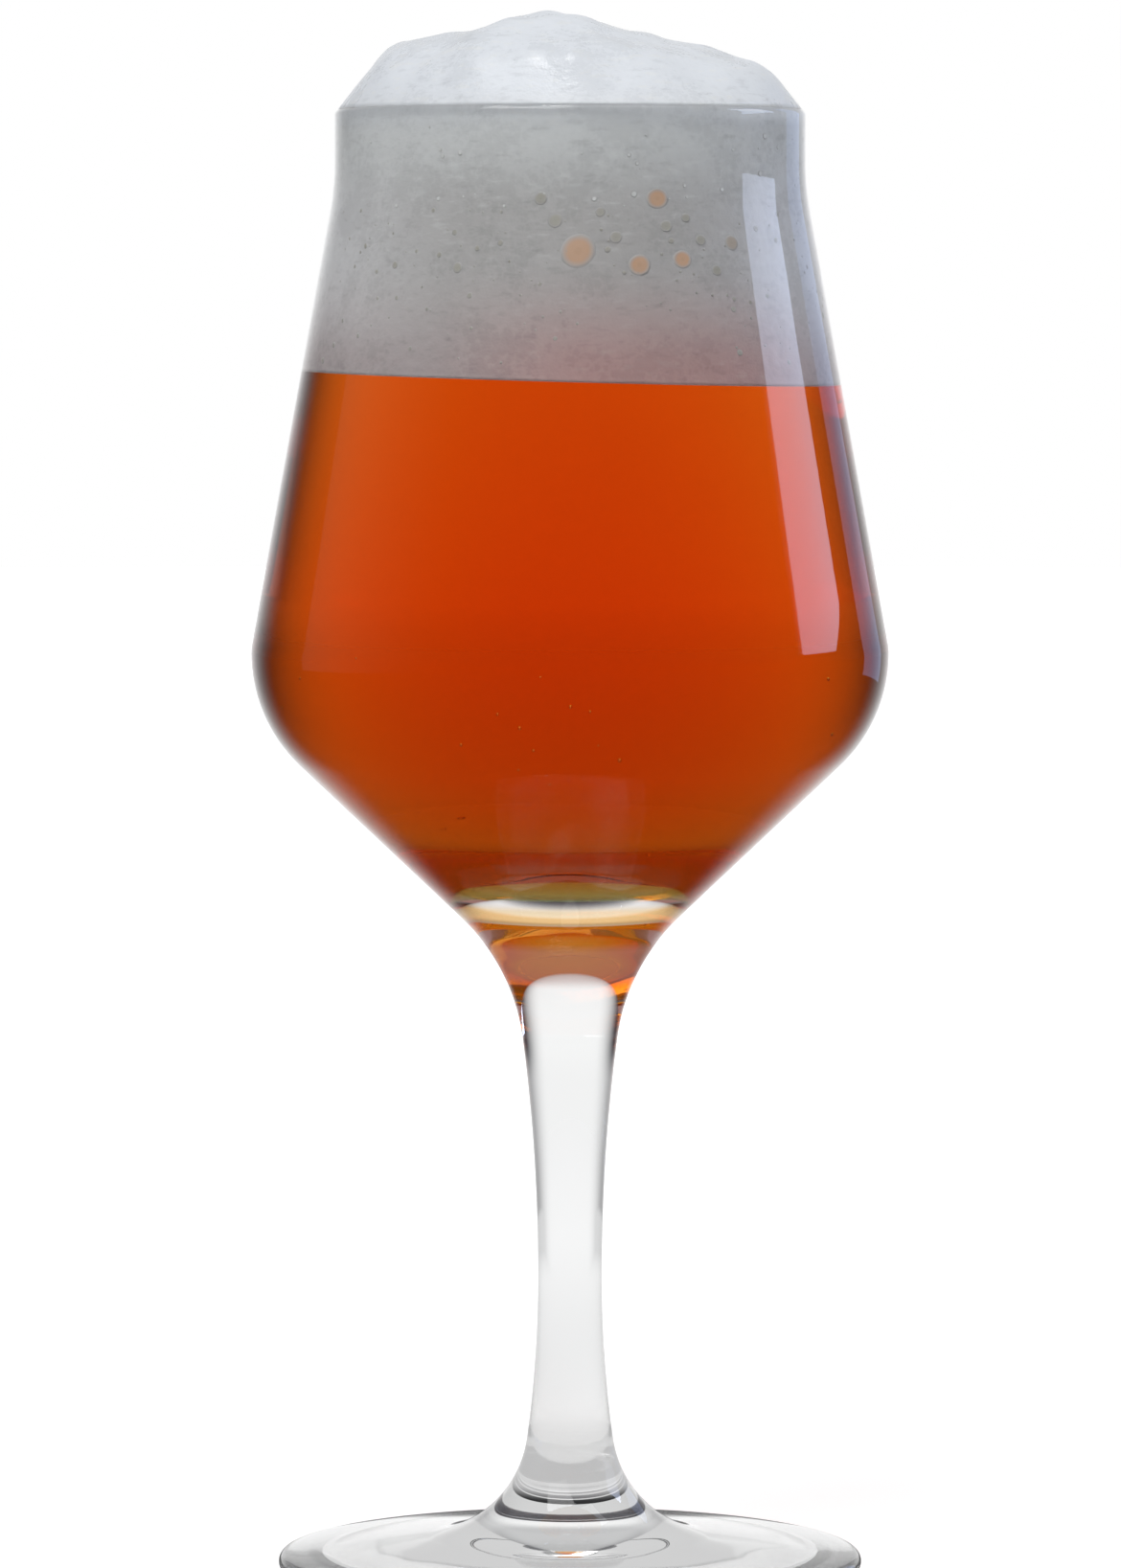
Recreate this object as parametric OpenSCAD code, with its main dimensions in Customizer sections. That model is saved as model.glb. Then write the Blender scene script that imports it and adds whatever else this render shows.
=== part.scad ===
// Tulip beer glass on a stem, filled with beer and a head of foam.
// Every piece is turned about the Z axis, and stands on the table at Z = 0.

/* [Bowl] */
// Height of the rim above the table
glass_h = 200; // [185:1:220]
// Outside diameter of the mouth
mouth_d = 64; // [56:0.5:72]
// Height of the upright lip
lip_h = 7; // [4:0.5:12]
// Radius of the bend between the lip and the wall
lip_bend_r = 38; // [20:1:60]
// Outside diameter of the belly
belly_d = 87; // [80:0.5:96]
// Height of the belly's widest place above the table
belly_z = 126; // [118:1:134]
// Radius of the bend above the belly
belly_upper_r = 8; // [4:0.5:16]
// Radius of the bend below the belly
belly_lower_r = 21; // [16:0.5:26]
// Radius of the hollow curve where the bowl runs out to the stem
bowl_root_r = 28; // [20:1:36]
// Thickness of the wall and the lip
wall_t = 1.6; // [1.2:0.1:2.4]
// Thickness of the glass under the cavity, down to the stem
floor_t = 21.4; // [18:0.1:24]
// Radius of the cavity's shallow floor
floor_r = 52; // [40:1:70]
// Radius of the bend round the floor's edge
floor_edge_r = 8; // [4:0.5:10]
// How far that bend's centre lies inside the centre of the bend below the belly
floor_edge_inset = 4.5; // [3.5:0.5:8]

/* [Stem] */
// Height above the table where the stem is fused to the bowl
stem_top_z = 73.2; // [68:0.2:78]
// Diameter of the stem there
stem_top_d = 13; // [11.5:0.1:15]
// Height of the waist, the thinnest place
waist_z = 40.6; // [34:0.2:48]
// Diameter of the waist
waist_d = 8.8; // [7:0.1:10]
// Height above the table where the stem is fused to the foot
stem_foot_z = 18.2; // [16:0.2:22]
// Diameter of the stem there
stem_foot_d = 11.8; // [10.8:0.1:14]

/* [Foot] */
// Diameter of the foot
foot_d = 80; // [72:0.5:88]
// Thickness of its rounded edge
foot_edge_t = 2.6; // [2:0.1:4]
// Radius of the hollow curve where the foot runs up to the stem
foot_root_r = 15.6; // [12:0.2:16]
// Width of the flat ring that it stands on
foot_ring_w = 5; // [3:0.5:10]
// Height of the hollow under its middle
foot_hollow_h = 2; // [0.5:0.1:4]

/* [Beer] */
// Depth of the beer line below the rim
beer_depth = 36.7; // [25:0.1:48]

/* [Foam] */
// Height of the crown's middle above the rim
crown_h = 11.5; // [8:0.5:16]
// Set-back of the crown's foot from the outside of the mouth
crown_inset = 0.5; // [0.4:0.1:1]
// Distance from the crown's foot in to its shoulder
shoulder_inset = 6; // [4:0.2:9]
// Height of the shoulder above the rim
shoulder_h = 6.8; // [5:0.1:7.5]
// Height of the peak above the rim
peak_h = 13.5; // [12.5:0.1:17]
// Radius of the peak
peak_r = 24; // [16:1:28]
// Distance of the peak from the axis, to the left
peak_shift = 3.6; // [0:0.2:6]

/* [Hidden] */
$fn = 180;
// Straight steps in each arc of an outline
arc_steps = 14;

// Clearance that keeps the contents off the glass
film = 0.05;

// Unit vector at an angle, and the angle of a vector
function toward(a) = [cos(a), sin(a)];
function angle_of(v) = atan2(v[1], v[0]);
// Angle on circle 1 where a line that crosses between two circles touches it: circle 2 is touched opposite
function crossing_touch(c1, r1, c2, r2, side) = angle_of(c2 - c1) + side * acos((r1 + r2) / norm(c2 - c1));
// Angle on both circles where a line along one side of them touches
function outer_touch(c1, r1, c2, r2, side) = angle_of(c2 - c1) + side * acos((r1 - r2) / norm(c2 - c1));
// Radius of an arc that starts square to its run and drops away by a sag
function arc_r(run, sag) = (run * run + sag * sag) / (2 * sag);
// Points of an arc about c. An arc that goes on from another skips its first point.
function arc(c, r, from, to, skip = 0) =
    [for (i = [skip : arc_steps]) c + r * toward(from + (to - from) * i / arc_steps)];

// Stem: two long hollow arcs that meet upright at the waist
upper_arc_r = arc_r(stem_top_z - waist_z, (stem_top_d - waist_d) / 2);
lower_arc_r = arc_r(waist_z - stem_foot_z, (stem_foot_d - waist_d) / 2);
top_lean = asin((stem_top_z - waist_z) / upper_arc_r);
foot_lean = asin((waist_z - stem_foot_z) / lower_arc_r);

// Bowl: the root, the bends at the belly and the bend at the lip, joined by straight tapers
rim_r = wall_t / 2;
lip_z = glass_h - lip_h;
root_c = [stem_top_d / 2, stem_top_z] + bowl_root_r * toward(-top_lean);
lower_c = [belly_d / 2 - belly_lower_r, belly_z];
upper_c = [belly_d / 2 - belly_upper_r, belly_z];
lip_c = [mouth_d / 2 + lip_bend_r, lip_z];
cone_a = crossing_touch(root_c, bowl_root_r, lower_c, belly_lower_r, 1);
wall_a = crossing_touch(upper_c, belly_upper_r, lip_c, lip_bend_r, -1);

// Cavity: a shallow floor with a round edge, and the same bends a wall's thickness in
floor_c = [0, stem_top_z + floor_t + floor_r];
floor_edge_x = lower_c[0] - floor_edge_inset;
floor_edge_c = floor_c + [floor_edge_x, -sqrt(pow(floor_r - floor_edge_r, 2) - pow(floor_edge_x, 2))];
floor_edge_a = angle_of(floor_edge_c - floor_c);
floor_a = outer_touch(floor_edge_c, floor_edge_r, lower_c, belly_lower_r - wall_t, -1);

// Foot: the root and the round edge, joined by a taper, and the hollow underneath
edge_r = foot_edge_t / 2;
edge_c = [foot_d / 2 - edge_r, edge_r];
foot_root_c = [stem_foot_d / 2, stem_foot_z] + foot_root_r * toward(foot_lean);
foot_a = crossing_touch(edge_c, edge_r, foot_root_c, foot_root_r, -1);
ring_in_r = edge_c[0] - foot_ring_w;
hollow_r = arc_r(ring_in_r, foot_hollow_h);
hollow_a = acos(ring_in_r / hollow_r);

// Beer line, which stays with the rim
beer_z = glass_h - beer_depth;

// Foam crown: a sloping flank up from the rim to a shoulder, and a wide arc over the top
crown_foot = [mouth_d / 2 - crown_inset, glass_h + film];
shoulder = [crown_foot[0] - shoulder_inset, glass_h + shoulder_h];
crown_r = arc_r(shoulder[0], crown_h - shoulder_h);
crown_c = [0, glass_h + crown_h - crown_r];

// Lower part of the cavity's outline, drawn in by a gap, from the floor up to the start of the tall wall
function cavity_low(gap) = concat(
    arc(floor_c, floor_r - gap, -90, floor_edge_a),
    arc(floor_edge_c, floor_edge_r - gap, floor_edge_a, floor_a, skip = 1),
    arc(lower_c, belly_lower_r - wall_t - gap, floor_a, 0),
    arc(upper_c, belly_upper_r - wall_t - gap, 0, wall_a, skip = 1)
);
// Upper part of it: the bend under the lip
function cavity_lip(gap) = arc(lip_c, lip_bend_r + wall_t + gap, 180 + wall_a, 180);
// Radius of the tall wall's inside at a height
function wall_inside(z, gap) =
    let (low = upper_c + (belly_upper_r - wall_t - gap) * toward(wall_a), high = cavity_lip(gap)[0])
    low[0] + (high[0] - low[0]) * (z - low[1]) / (high[1] - low[1]);
function reversed(list) = [for (i = [len(list) - 1 : -1 : 0]) list[i]];

module bowl() {
    color([0.82, 0.88, 0.90, 0.4]) rotate_extrude() polygon(concat(
        [[0, stem_top_z]],
        arc(root_c, bowl_root_r, 180 - top_lean, cone_a),
        arc(lower_c, belly_lower_r, cone_a - 180, 0),
        arc(upper_c, belly_upper_r, 0, wall_a, skip = 1),
        arc(lip_c, lip_bend_r, 180 + wall_a, 180),
        arc([mouth_d / 2 - rim_r, glass_h - rim_r], rim_r, 0, 180),
        reversed(concat(cavity_low(0), cavity_lip(0)))
    ));
}

module stem() {
    color([0.86, 0.89, 0.90, 0.4]) rotate_extrude() polygon(concat(
        [[0, stem_foot_z]],
        arc([waist_d / 2 + lower_arc_r, waist_z], lower_arc_r, 180 + foot_lean, 180),
        arc([waist_d / 2 + upper_arc_r, waist_z], upper_arc_r, 180, 180 - top_lean, skip = 1),
        [[0, stem_top_z]]
    ));
}

module foot() {
    color([0.80, 0.84, 0.86, 0.4]) rotate_extrude() polygon(concat(
        arc([0, foot_hollow_h - hollow_r], hollow_r, 90, hollow_a),
        arc(edge_c, edge_r, -90, foot_a),
        arc(foot_root_c, foot_root_r, 180 + foot_a, 180 + foot_lean),
        [[0, stem_foot_z]]
    ));
}

module beer() {
    color([0.74, 0.27, 0.02, 0.85]) rotate_extrude() polygon(concat(
        cavity_low(film),
        [[wall_inside(beer_z, film), beer_z], [0, beer_z]]
    ));
}

// The collar inside the glass, down to the beer
module collar() {
    rotate_extrude() polygon(concat(
        [[0, beer_z], [wall_inside(beer_z, film), beer_z]],
        cavity_lip(film),
        [[mouth_d / 2 - wall_t - film, crown_foot[1]], [0, crown_foot[1]]]
    ));
}

// The crown above the rim: the flank runs on past the shoulder, and the arc over the top cuts it off
module crown() {
    rotate_extrude() intersection() {
        polygon([[0, crown_foot[1]], crown_foot, 2 * shoulder - crown_foot, [0, 2 * shoulder[1] - crown_foot[1]]]);
        translate(crown_c) circle(crown_r);
    }
}

// A round mound that rises out of the crown beside the axis
module peak() {
    intersection() {
        translate([-peak_shift, 0, glass_h + peak_h - peak_r]) sphere(peak_r);
        translate([-peak_shift - peak_r, -peak_r, glass_h + shoulder_h / 2]) cube([2 * peak_r, 2 * peak_r, peak_h]);
    }
}

module foam_head() {
    color([0.90, 0.90, 0.88]) {
        collar();
        crown();
        peak();
    }
}

bowl();
stem();
foot();
beer();
foam_head();
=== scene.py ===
"""Tulip beer glass on a stem, with amber beer and a head of foam.

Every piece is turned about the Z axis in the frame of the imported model, in metres.
"""

import math
import random
from functools import partial
from types import SimpleNamespace

import bpy
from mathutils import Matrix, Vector, noise


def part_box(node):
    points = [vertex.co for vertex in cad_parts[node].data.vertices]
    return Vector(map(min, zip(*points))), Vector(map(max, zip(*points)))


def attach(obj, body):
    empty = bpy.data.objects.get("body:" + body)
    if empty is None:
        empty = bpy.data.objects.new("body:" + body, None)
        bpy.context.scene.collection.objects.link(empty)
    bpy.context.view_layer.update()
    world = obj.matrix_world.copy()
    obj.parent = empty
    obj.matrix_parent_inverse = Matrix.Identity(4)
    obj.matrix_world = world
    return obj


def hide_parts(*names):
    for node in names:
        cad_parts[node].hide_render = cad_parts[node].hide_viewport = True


bl_info = {
    "name": "Tulip beer glass",
    "version": (1, 0, 0),
    "blender": (4, 5, 0),
    "location": "View3D > Sidebar > Tulip glass",
    "description": "Makes a stemmed beer glass with beer and foam, and a plain studio stage for it",
    "category": "Object",
}

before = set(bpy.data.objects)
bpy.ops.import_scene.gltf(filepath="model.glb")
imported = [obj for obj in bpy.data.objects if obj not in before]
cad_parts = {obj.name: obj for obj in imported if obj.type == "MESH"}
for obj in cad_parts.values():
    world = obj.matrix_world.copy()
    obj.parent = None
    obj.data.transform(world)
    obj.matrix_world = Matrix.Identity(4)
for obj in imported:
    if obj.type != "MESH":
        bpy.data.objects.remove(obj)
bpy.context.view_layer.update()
RIM_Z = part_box("bowl")[1].z
BELLY_D = 2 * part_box("bowl")[1].x
STEM_FOOT_Z, STEM_TOP_Z = (corner.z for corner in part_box("stem"))
FOOT_D = 2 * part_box("foot")[1].x
BEER_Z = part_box("beer")[1].z
CROWN_TOP_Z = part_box("foam_head")[1].z
MM = 0.001
TINY = 1e-7
WHITE = (1.0, 1.0, 1.0)
FOAM_INDEX = 1.34
# Gap between the beer and the wall that it wets, and between the rim and the foam over it
FILM = 0.03 * MM
LIP_GAP = 0.05 * MM
# Straight steps in the arcs of the outlines
FLOOR_STEPS = 24
FLOOR_EDGE_STEPS = 12
BELLY_STEPS = 40
BEND_STEPS = 12
LIP_STEPS = 14
RIM_STEPS = 16
ROOT_STEPS = 40
STEM_LOW_STEPS = 24
STEM_HIGH_STEPS = 32
HOLLOW_STEPS = 24
EDGE_STEPS = 20
# Masks on the points of the bubbles: how near the edge a point is, how tan its bubble is, and how pale it is
# with a painted sheen
BUBBLE_MASKS = ("rim_share", "warm_share", "pale_sheen_share")


def length(title, about, millimetres):
    """A size that a user can change, given in millimetres and kept in metres."""
    kind = {"unit": "LENGTH", "subtype": "DISTANCE", "precision": 5}
    return bpy.props.FloatProperty(name=title, description=about, default=millimetres * MM, min=0.0, **kind)


def colour(title, about, red, green, blue):
    """A colour that a user can change."""
    kind = {"min": 0.0, "max": 1.0, "size": 3, "subtype": "COLOR"}
    return bpy.props.FloatVectorProperty(name=title, description=about, default=(red, green, blue), **kind)


def amount(title, about, value, most=100.0):
    """A plain number that a user can change."""
    kind = {"min": 0.0, "max": most, "precision": 3}
    return bpy.props.FloatProperty(name=title, description=about, default=value, **kind)


class GlassSizes(bpy.types.PropertyGroup):
    """Sizes of the bowl, the stem and the foot."""

    rim_z: length("Rim height", "Height of the rim above the table", RIM_Z / MM)
    mouth_d: length("Mouth", "Outside diameter of the mouth", 64)
    lip_h: length("Lip", "Height of the upright lip", 7)
    lip_bend_r: length("Lip bend", "Radius of the bend between the lip and the wall", 38)
    belly_d: length("Belly", "Outside diameter of the belly", BELLY_D / MM)
    belly_z: length("Belly height", "Height of the widest place above the table", 126)
    belly_upper_r: length("Bend above the belly", "Radius of the bend above the belly", 8)
    belly_lower_r: length("Bend below the belly", "Radius of the bend below the belly", 21)
    bowl_root_r: length("Bowl root", "Radius of the hollow curve that runs out to the stem", 28)
    wall_t: length("Wall", "Thickness of the wall and the lip", 1.6)
    floor_t: length("Floor", "Thickness of the glass under the cavity", 21.4)
    floor_r: length("Floor radius", "Radius of the cavity's shallow floor", 52)
    floor_edge_r: length("Floor edge", "Radius of the bend round the floor's edge", 8)
    floor_edge_inset: length("Floor edge inset", "Distance of that bend inside the bend below the belly", 4.5)
    stem_top_z: length("Stem top", "Height where the stem is fused to the bowl", STEM_TOP_Z / MM)
    stem_top_d: length("Stem top diameter", "Diameter of the stem at the bowl", 13)
    waist_z: length("Waist height", "Height of the thinnest place of the stem", 40.6)
    waist_d: length("Waist", "Diameter of the thinnest place of the stem", 8.8)
    stem_foot_z: length("Stem foot", "Height where the stem is fused to the foot", STEM_FOOT_Z / MM)
    stem_foot_d: length("Stem foot diameter", "Diameter of the stem at the foot", 11.8)
    foot_d: length("Foot", "Diameter of the foot", FOOT_D / MM)
    foot_edge_t: length("Foot edge", "Thickness of the rounded edge", 2.6)
    foot_root_r: length("Foot root", "Radius of the hollow curve that runs up to the stem", 15.6)
    foot_ring_w: length("Foot ring", "Width of the flat ring that the foot stands on", 5)
    foot_hollow_h: length("Foot hollow", "Height of the hollow under the middle", 2)
    tint: colour("Glass tint", "Colour of the clear glass", 0.985, 0.992, 0.990)
    # Painted light: the beer's amber light laid as a tint on the thick glass under the cavity
    painted_root_amber: colour("Root tint", "Colour that the beer lends to the thick glass under it", 0.90, 0.60, 0.28)
    bend: amount("Glass index", "Refractive index of the glass", 1.5, 3.0)


class DrinkSizes(bpy.types.PropertyGroup):
    """Sizes and colours of the beer and its foam."""

    beer_z: length("Beer line", "Height of the beer line above the table", BEER_Z / MM)
    peak_h: length("Peak", "Height of the foam's peak above the rim", (CROWN_TOP_Z - RIM_Z) / MM)
    crown_inset: length("Crown inset", "Set-back of the crown's foot from the outside of the mouth", 0.5)
    foam_gap: length("Foam gap", "Gap between the foam and the wall", 0.1)
    beer_lean: amount("Beer lean", "Slope of the foam's underside, down to the right", 0.028, 0.1)
    bubble_d: length("Largest bubble", "Diameter of the largest bubble against the wall", 4.7)
    bead_d: length("Gas bead", "Diameter of a bead of gas in the beer", 0.5)
    beer_index: amount("Beer index", "Refractive index of the beer", 1.34, 3.0)
    beer_tint: colour("Beer colour", "Colour that the beer lets through", 0.936, 0.60, 0.06)
    beer_depth: amount("Beer strength", "How fast the beer takes up light, for each metre", 100.0, 500.0)
    foam_top: colour("Foam above", "Colour of the dry foam of the crown", 0.72, 0.755, 0.795)
    # Painted light: the foam against the lip is lighter, for light scattered down from the crown
    foam_lip_lit: colour("Foam at the lip", "Colour of the wet foam against the lip", 0.72, 0.735, 0.735)
    # Partly the greyer wet foam packed on the wall, partly painted shade of the foam lower down
    foam_low_shaded: colour("Foam below", "Colour of the wet foam against the wall", 0.49, 0.482, 0.476)
    # Painted light: the foam at the sides and the back is lighter, as if lit from behind
    foam_side_backlit: colour("Foam aside", "Colour of the dry foam at the sides and the back", 0.72, 0.72, 0.73)
    foam_wet: colour("Foam at the line", "Colour of the soaked foam just above the beer", 0.45, 0.445, 0.45)
    # Painted light: the beer's warm light through the foam, laid in its colour
    painted_foam_glow: colour("Foam glow", "Colour of the foam where the beer glows through it", 0.53, 0.335, 0.32)
    # Painted light: the foam's underside is whiter, for light scattered down through it
    foam_under_lit: colour("Foam underneath", "Colour of the foam that lies on the beer", 0.95, 0.94, 0.92)
    bubble_tan: colour("Large bubble", "Colour of a large bubble against the wall", 0.66, 0.405, 0.25)
    bubble_grey: colour("Small bubble", "Colour of a small bubble against the wall", 0.43, 0.415, 0.365)
    # Painted sheen: small bubbles near the lip and the ripples' crests are lightened as if they caught the
    # light
    bubble_pale_sheen: colour("Pale bubble", "Colour of a small bubble near the lip", 0.76, 0.775, 0.765)


class StageSizes(bpy.types.PropertyGroup):
    """The floor, the light round the glass and the camera."""

    eye_y: length("Eye distance", "Distance of the camera from the glass", 1100)
    eye_x: length("Eye offset", "How far the camera stands to the left", 1.3)
    eye_z: length("Eye height", "Height of the camera above the table", 175.6)
    aim_z: length("Aim height", "Height that the camera is aimed at", 108.1)
    lens: amount("Lens", "Focal length for a 36 mm sensor, in millimetres", 185.1, 500.0)
    floor_r: length("Floor radius", "Radius of the floor", 4000)
    white: colour("Backdrop", "Colour of the backdrop behind the glass", 1.0, 1.0, 1.0)
    side: colour("Flags", "Colour of the dark flags beside the backdrop", 0.07, 0.07, 0.08)
    front: colour("Dark room", "Colour of the dark room that the glass mirrors", 0.015, 0.015, 0.018)
    room: colour("Room light", "Light of the room that falls on matt things from the front", 0.38, 0.38, 0.39)
    room_back: colour("Back light", "Light of the room that falls on them from behind", 0.85, 0.85, 0.87)
    ceiling: colour("Ceiling", "Colour of the ceiling that the glass shows", 0.5, 0.5, 0.5)
    floor_tone: colour("Floor", "Colour of the floor", 0.80, 0.80, 0.80)


def toward(angle):
    """Unit vector in an outline at an angle in degrees."""
    return Vector((math.cos(math.radians(angle)), math.sin(math.radians(angle))))


def angle_of(line):
    """Angle of a vector in an outline, in degrees."""
    return math.degrees(math.atan2(line[1], line[0]))


def crossing_touch(first, first_r, second, second_r, side):
    """Angle on the first circle where a line that crosses between two circles touches it."""
    gap = second - first
    return angle_of(gap) + side * math.degrees(math.acos((first_r + second_r) / gap.length))


def outer_touch(first, first_r, second, second_r, side):
    """Angle on both circles where a line along one side of them touches."""
    gap = second - first
    return angle_of(gap) + side * math.degrees(math.acos((first_r - second_r) / gap.length))


def arc_radius(run, sag):
    """Radius of an arc that starts square to its run and drops away by a sag."""
    return (run * run + sag * sag) / (2 * sag)


def arc(centre, radius, start, stop, steps):
    """Points of an arc about a centre."""
    return [centre + radius * toward(start + (stop - start) * step / steps) for step in range(steps + 1)]


def run_on(outline, points, steps=1):
    """Adds points to an outline, after a straight stretch in even steps from its last point."""
    if outline:
        last = outline[-1]
        gap = points[0] - last
        if gap.length > TINY:
            outline += [last + gap * step / steps for step in range(1, steps)]
        else:
            points = points[1:]
    outline += points
    return outline


def glass_shape(glass):
    """Centres, radii and angles that the outlines of the glass share."""
    shape = SimpleNamespace(walls={})
    upper_run = glass.stem_top_z - glass.waist_z
    lower_run = glass.waist_z - glass.stem_foot_z
    shape.upper_r = arc_radius(upper_run, (glass.stem_top_d - glass.waist_d) / 2)
    shape.lower_r = arc_radius(lower_run, (glass.stem_foot_d - glass.waist_d) / 2)
    shape.top_lean = math.degrees(math.asin(upper_run / shape.upper_r))
    shape.foot_lean = math.degrees(math.asin(lower_run / shape.lower_r))
    root = Vector((glass.stem_top_d / 2, glass.stem_top_z))
    shape.root = root + glass.bowl_root_r * toward(-shape.top_lean)
    shape.low = Vector((glass.belly_d / 2 - glass.belly_lower_r, glass.belly_z))
    shape.up = Vector((glass.belly_d / 2 - glass.belly_upper_r, glass.belly_z))
    shape.lip = Vector((glass.mouth_d / 2 + glass.lip_bend_r, glass.rim_z - glass.lip_h))
    shape.cone_a = crossing_touch(shape.root, glass.bowl_root_r, shape.low, glass.belly_lower_r, 1)
    shape.wall_a = crossing_touch(shape.up, glass.belly_upper_r, shape.lip, glass.lip_bend_r, -1)
    shape.floor = Vector((0.0, glass.stem_top_z + glass.floor_t + glass.floor_r))
    floor_in = shape.low.x - glass.floor_edge_inset
    floor_up = math.sqrt((glass.floor_r - glass.floor_edge_r) ** 2 - floor_in ** 2)
    shape.floor_edge = shape.floor + Vector((floor_in, -floor_up))
    shape.floor_edge_a = angle_of(shape.floor_edge - shape.floor)
    inner_r = glass.belly_lower_r - glass.wall_t
    shape.floor_a = outer_touch(shape.floor_edge, glass.floor_edge_r, shape.low, inner_r, -1)
    edge_r = glass.foot_edge_t / 2
    shape.edge = Vector((glass.foot_d / 2 - edge_r, edge_r))
    foot_root = Vector((glass.stem_foot_d / 2, glass.stem_foot_z))
    shape.foot_root = foot_root + glass.foot_root_r * toward(shape.foot_lean)
    shape.foot_a = crossing_touch(shape.edge, edge_r, shape.foot_root, glass.foot_root_r, -1)
    shape.ring_r = shape.edge.x - glass.foot_ring_w
    shape.hollow_r = arc_radius(shape.ring_r, glass.foot_hollow_h)
    shape.hollow_a = math.degrees(math.acos(shape.ring_r / shape.hollow_r))
    return shape


def cavity_low(glass, shape, gap):
    """The cavity's outline from the axis up to the start of the tall wall, drawn in by a gap."""
    edge_turn = (shape.floor_edge_a, shape.floor_a)
    low_r = glass.belly_lower_r - glass.wall_t - gap
    up_r = glass.belly_upper_r - glass.wall_t - gap
    outline = arc(shape.floor, glass.floor_r - gap, -90, shape.floor_edge_a, FLOOR_STEPS)
    run_on(outline, arc(shape.floor_edge, glass.floor_edge_r - gap, *edge_turn, FLOOR_EDGE_STEPS))
    run_on(outline, arc(shape.low, low_r, shape.floor_a, 0, BELLY_STEPS), steps=10)
    run_on(outline, arc(shape.up, up_r, 0, shape.wall_a, BEND_STEPS))
    outline[0].x = 0.0
    return outline


def cavity_lip(glass, shape, gap):
    """The bend of the cavity's outline under the lip."""
    return arc(shape.lip, glass.lip_bend_r + glass.wall_t + gap, 180 + shape.wall_a, 180, LIP_STEPS)


def radius_at(outline, height):
    """Radius of a climbing outline at a height."""
    for low, high in zip(outline, outline[1:]):
        if low.y <= height <= high.y:
            return low.x + (high.x - low.x) * (height - low.y) / max(high.y - low.y, TINY)
    raise ValueError("the height is outside the outline")


def wall_inside(glass, shape, height, gap):
    """Radius of the inside of the wall at a height, from the belly up to the rim."""
    if gap not in shape.walls:
        outline = cavity_low(glass, shape, gap)[-BEND_STEPS - 1:] + cavity_lip(glass, shape, gap)
        outline.append(Vector((glass.mouth_d / 2 - glass.wall_t - gap, glass.rim_z * 2)))
        shape.walls[gap] = outline
    return radius_at(shape.walls[gap], height)


def beer_line(glass, drink, shape, gap, turn):
    """The point of the leaning beer line on the wall at a turn about the axis."""
    level = wall_inside(glass, shape, drink.beer_z, gap)
    height = drink.beer_z - drink.beer_lean * level * math.cos(turn)
    radius = wall_inside(glass, shape, height, gap)
    return Vector((radius * math.cos(turn), radius * math.sin(turn), height))


def turns(count):
    """Angles of even steps once round."""
    return [2 * math.pi * step / count for step in range(count)]


def level_ring(radius, height, count):
    """Points of a level ring about the Z axis."""
    return [Vector((radius * math.cos(turn), radius * math.sin(turn), height)) for turn in turns(count)]


def ring_mesh(name, stacks):
    """A smooth mesh over stacks of rings of points. A ring of one point closes the end of its stack."""
    points = []
    faces = []
    for rings in stacks:
        numbered = []
        for ring in rings:
            numbered.append(range(len(points), len(points) + len(ring)))
            points += ring
        for low, high in zip(numbered, numbered[1:]):
            count = max(len(low), len(high))
            for step in range(count):
                after = (step + 1) % count
                corners = [low[step % len(low)], low[after % len(low)]]
                corners += [high[after % len(high)], high[step % len(high)]]
                faces.append(list(dict.fromkeys(corners)))
    mesh = bpy.data.meshes.new(name)
    mesh.from_pydata(points, [], faces)
    mesh.polygons.foreach_set("use_smooth", [True] * len(faces))
    return mesh


def turned(name, outline, slots, count, sharp=(), leaning=None, line=None):
    """A mesh that an outline of (radius, height) points sweeps about the Z axis, with a slot for each span.

    One ring can lean: its points come from a function of the turn.
    """
    rings = [[Vector((0, 0, y))] if x < TINY else level_ring(x, y, count) for x, y in outline]
    if leaning is not None:
        rings[leaning] = [line(turn) for turn in turns(count)]
    mesh = ring_mesh(name, [rings])
    mesh.polygons.foreach_set("material_index", [slot for slot in slots for _ in range(count)])
    if sharp:
        starts = [0]
        for ring in rings:
            starts.append(starts[-1] + len(ring))
        sharp_points = {point for index in sharp for point in range(starts[index], starts[index + 1])}
        for edge in mesh.edges:
            edge.use_edge_sharp = sharp_points.issuperset(edge.vertices)
    return mesh


def add_piece(mesh, materials, replaced=None):
    """Puts a mesh in the scene as a piece of the object."""
    mesh.validate()
    old = bpy.data.objects.get(mesh.name)
    if old:
        bpy.data.objects.remove(old)
    piece = bpy.data.objects.new(mesh.name, mesh)
    bpy.context.scene.collection.objects.link(piece)
    for material in materials:
        mesh.materials.append(material)
    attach(piece, "root")
    if replaced:
        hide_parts(replaced)
    return piece


def node(tree, kind, values=None, **settings):
    """A new shader node with its settings, and values on its inputs by name or number."""
    made = tree.nodes.new("ShaderNode" + kind)
    for key, value in settings.items():
        setattr(made, key, value)
    for key, value in (values or {}).items():
        feed(value, made.inputs[key])
    return made


def feed(value, socket):
    """Links a socket, or sets a plain value, on an input."""
    if isinstance(value, bpy.types.NodeSocket):
        socket.id_data.links.new(value, socket)
    elif socket.type == "RGBA" and len(value) == 3:
        socket.default_value = (*value, 1.0)
    else:
        socket.default_value = value


def shader(tree, kind, values):
    """What a shader node puts out."""
    return node(tree, kind, values).outputs[0]


def maths(operation, *values):
    """The result of an operation that Math nodes carry on from value to value."""
    tree = next(value for value in values if isinstance(value, bpy.types.NodeSocket)).id_data
    result = values[0]
    for value in values[1:] or (0.0,):
        result = node(tree, "Math", {0: result, 1: value}, operation=operation).outputs[0]
    return result


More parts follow.
